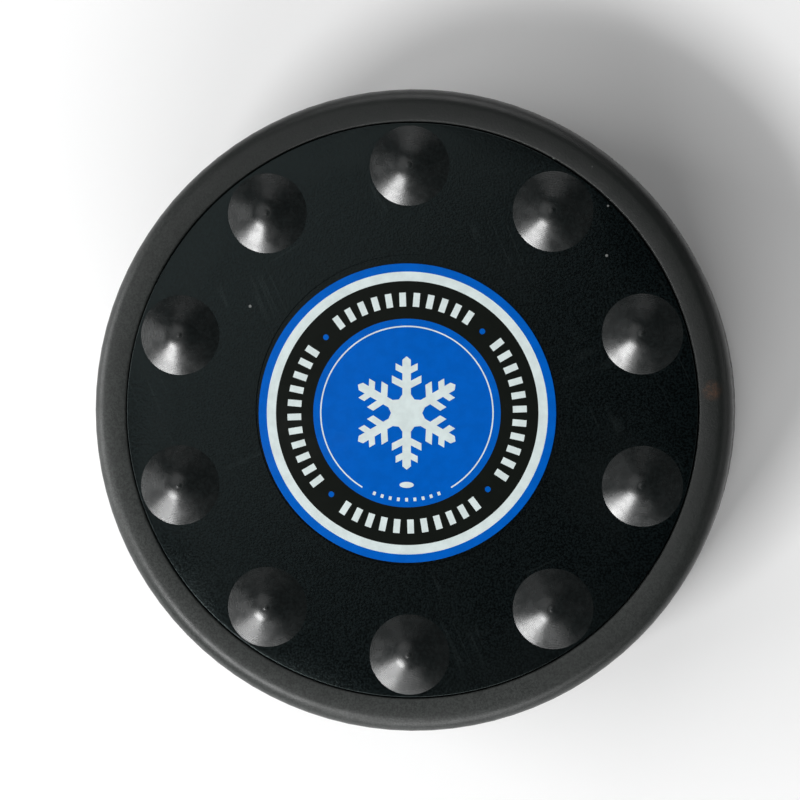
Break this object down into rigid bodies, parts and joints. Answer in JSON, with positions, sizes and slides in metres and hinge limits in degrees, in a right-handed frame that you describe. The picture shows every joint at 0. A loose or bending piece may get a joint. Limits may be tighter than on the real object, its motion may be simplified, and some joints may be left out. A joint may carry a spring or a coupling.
{
  "type": "hockey puck",
  "caption": "Off-ice training hockey puck: a rubber rim ring that can turn, held between two hard face plates with low cone studs and a round label on each face.",
  "frame": {"origin": "on the puck's axis, at the height of the tips of the lower studs it stands on", "axes": "+Z along the puck's axis, up through the upper label; +Y is the top edge of the upper label and points at one stud of each plate"},
  "size_m": [0.0762, 0.0762, 0.0254],
  "materials": {
    "rim_rubber": "matte",
    "plate_plastic": "satin",
    "upper_label_vinyl": "satin",
    "lower_label_vinyl": "satin",
    "weight_steel": "satin",
    "pad_foam": "matte",
    "screw_zinc": "satin"
  },
  "bodies": {
    "core": {"upper_face_plate": "plate_plastic", "lower_face_plate": "plate_plastic", "upper_label": "upper_label_vinyl", "lower_label": "lower_label_vinyl", "weight_disc": "weight_steel", "upper_foam_pad": "pad_foam", "lower_foam_pad": "pad_foam", "screw_1": "screw_zinc", "screw_2": "screw_zinc", "screw_3": "screw_zinc", "screw_4": "screw_zinc"},
    "rim": {"rim_ring": "rim_rubber"}
  },
  "joints": [
    {"name": "rim_spin", "type": "hinge", "parent": "core", "child": "rim", "pos_m": [0, 0, 0.0127], "axis": [0, 0, 1], "continuous": true}
  ]
}
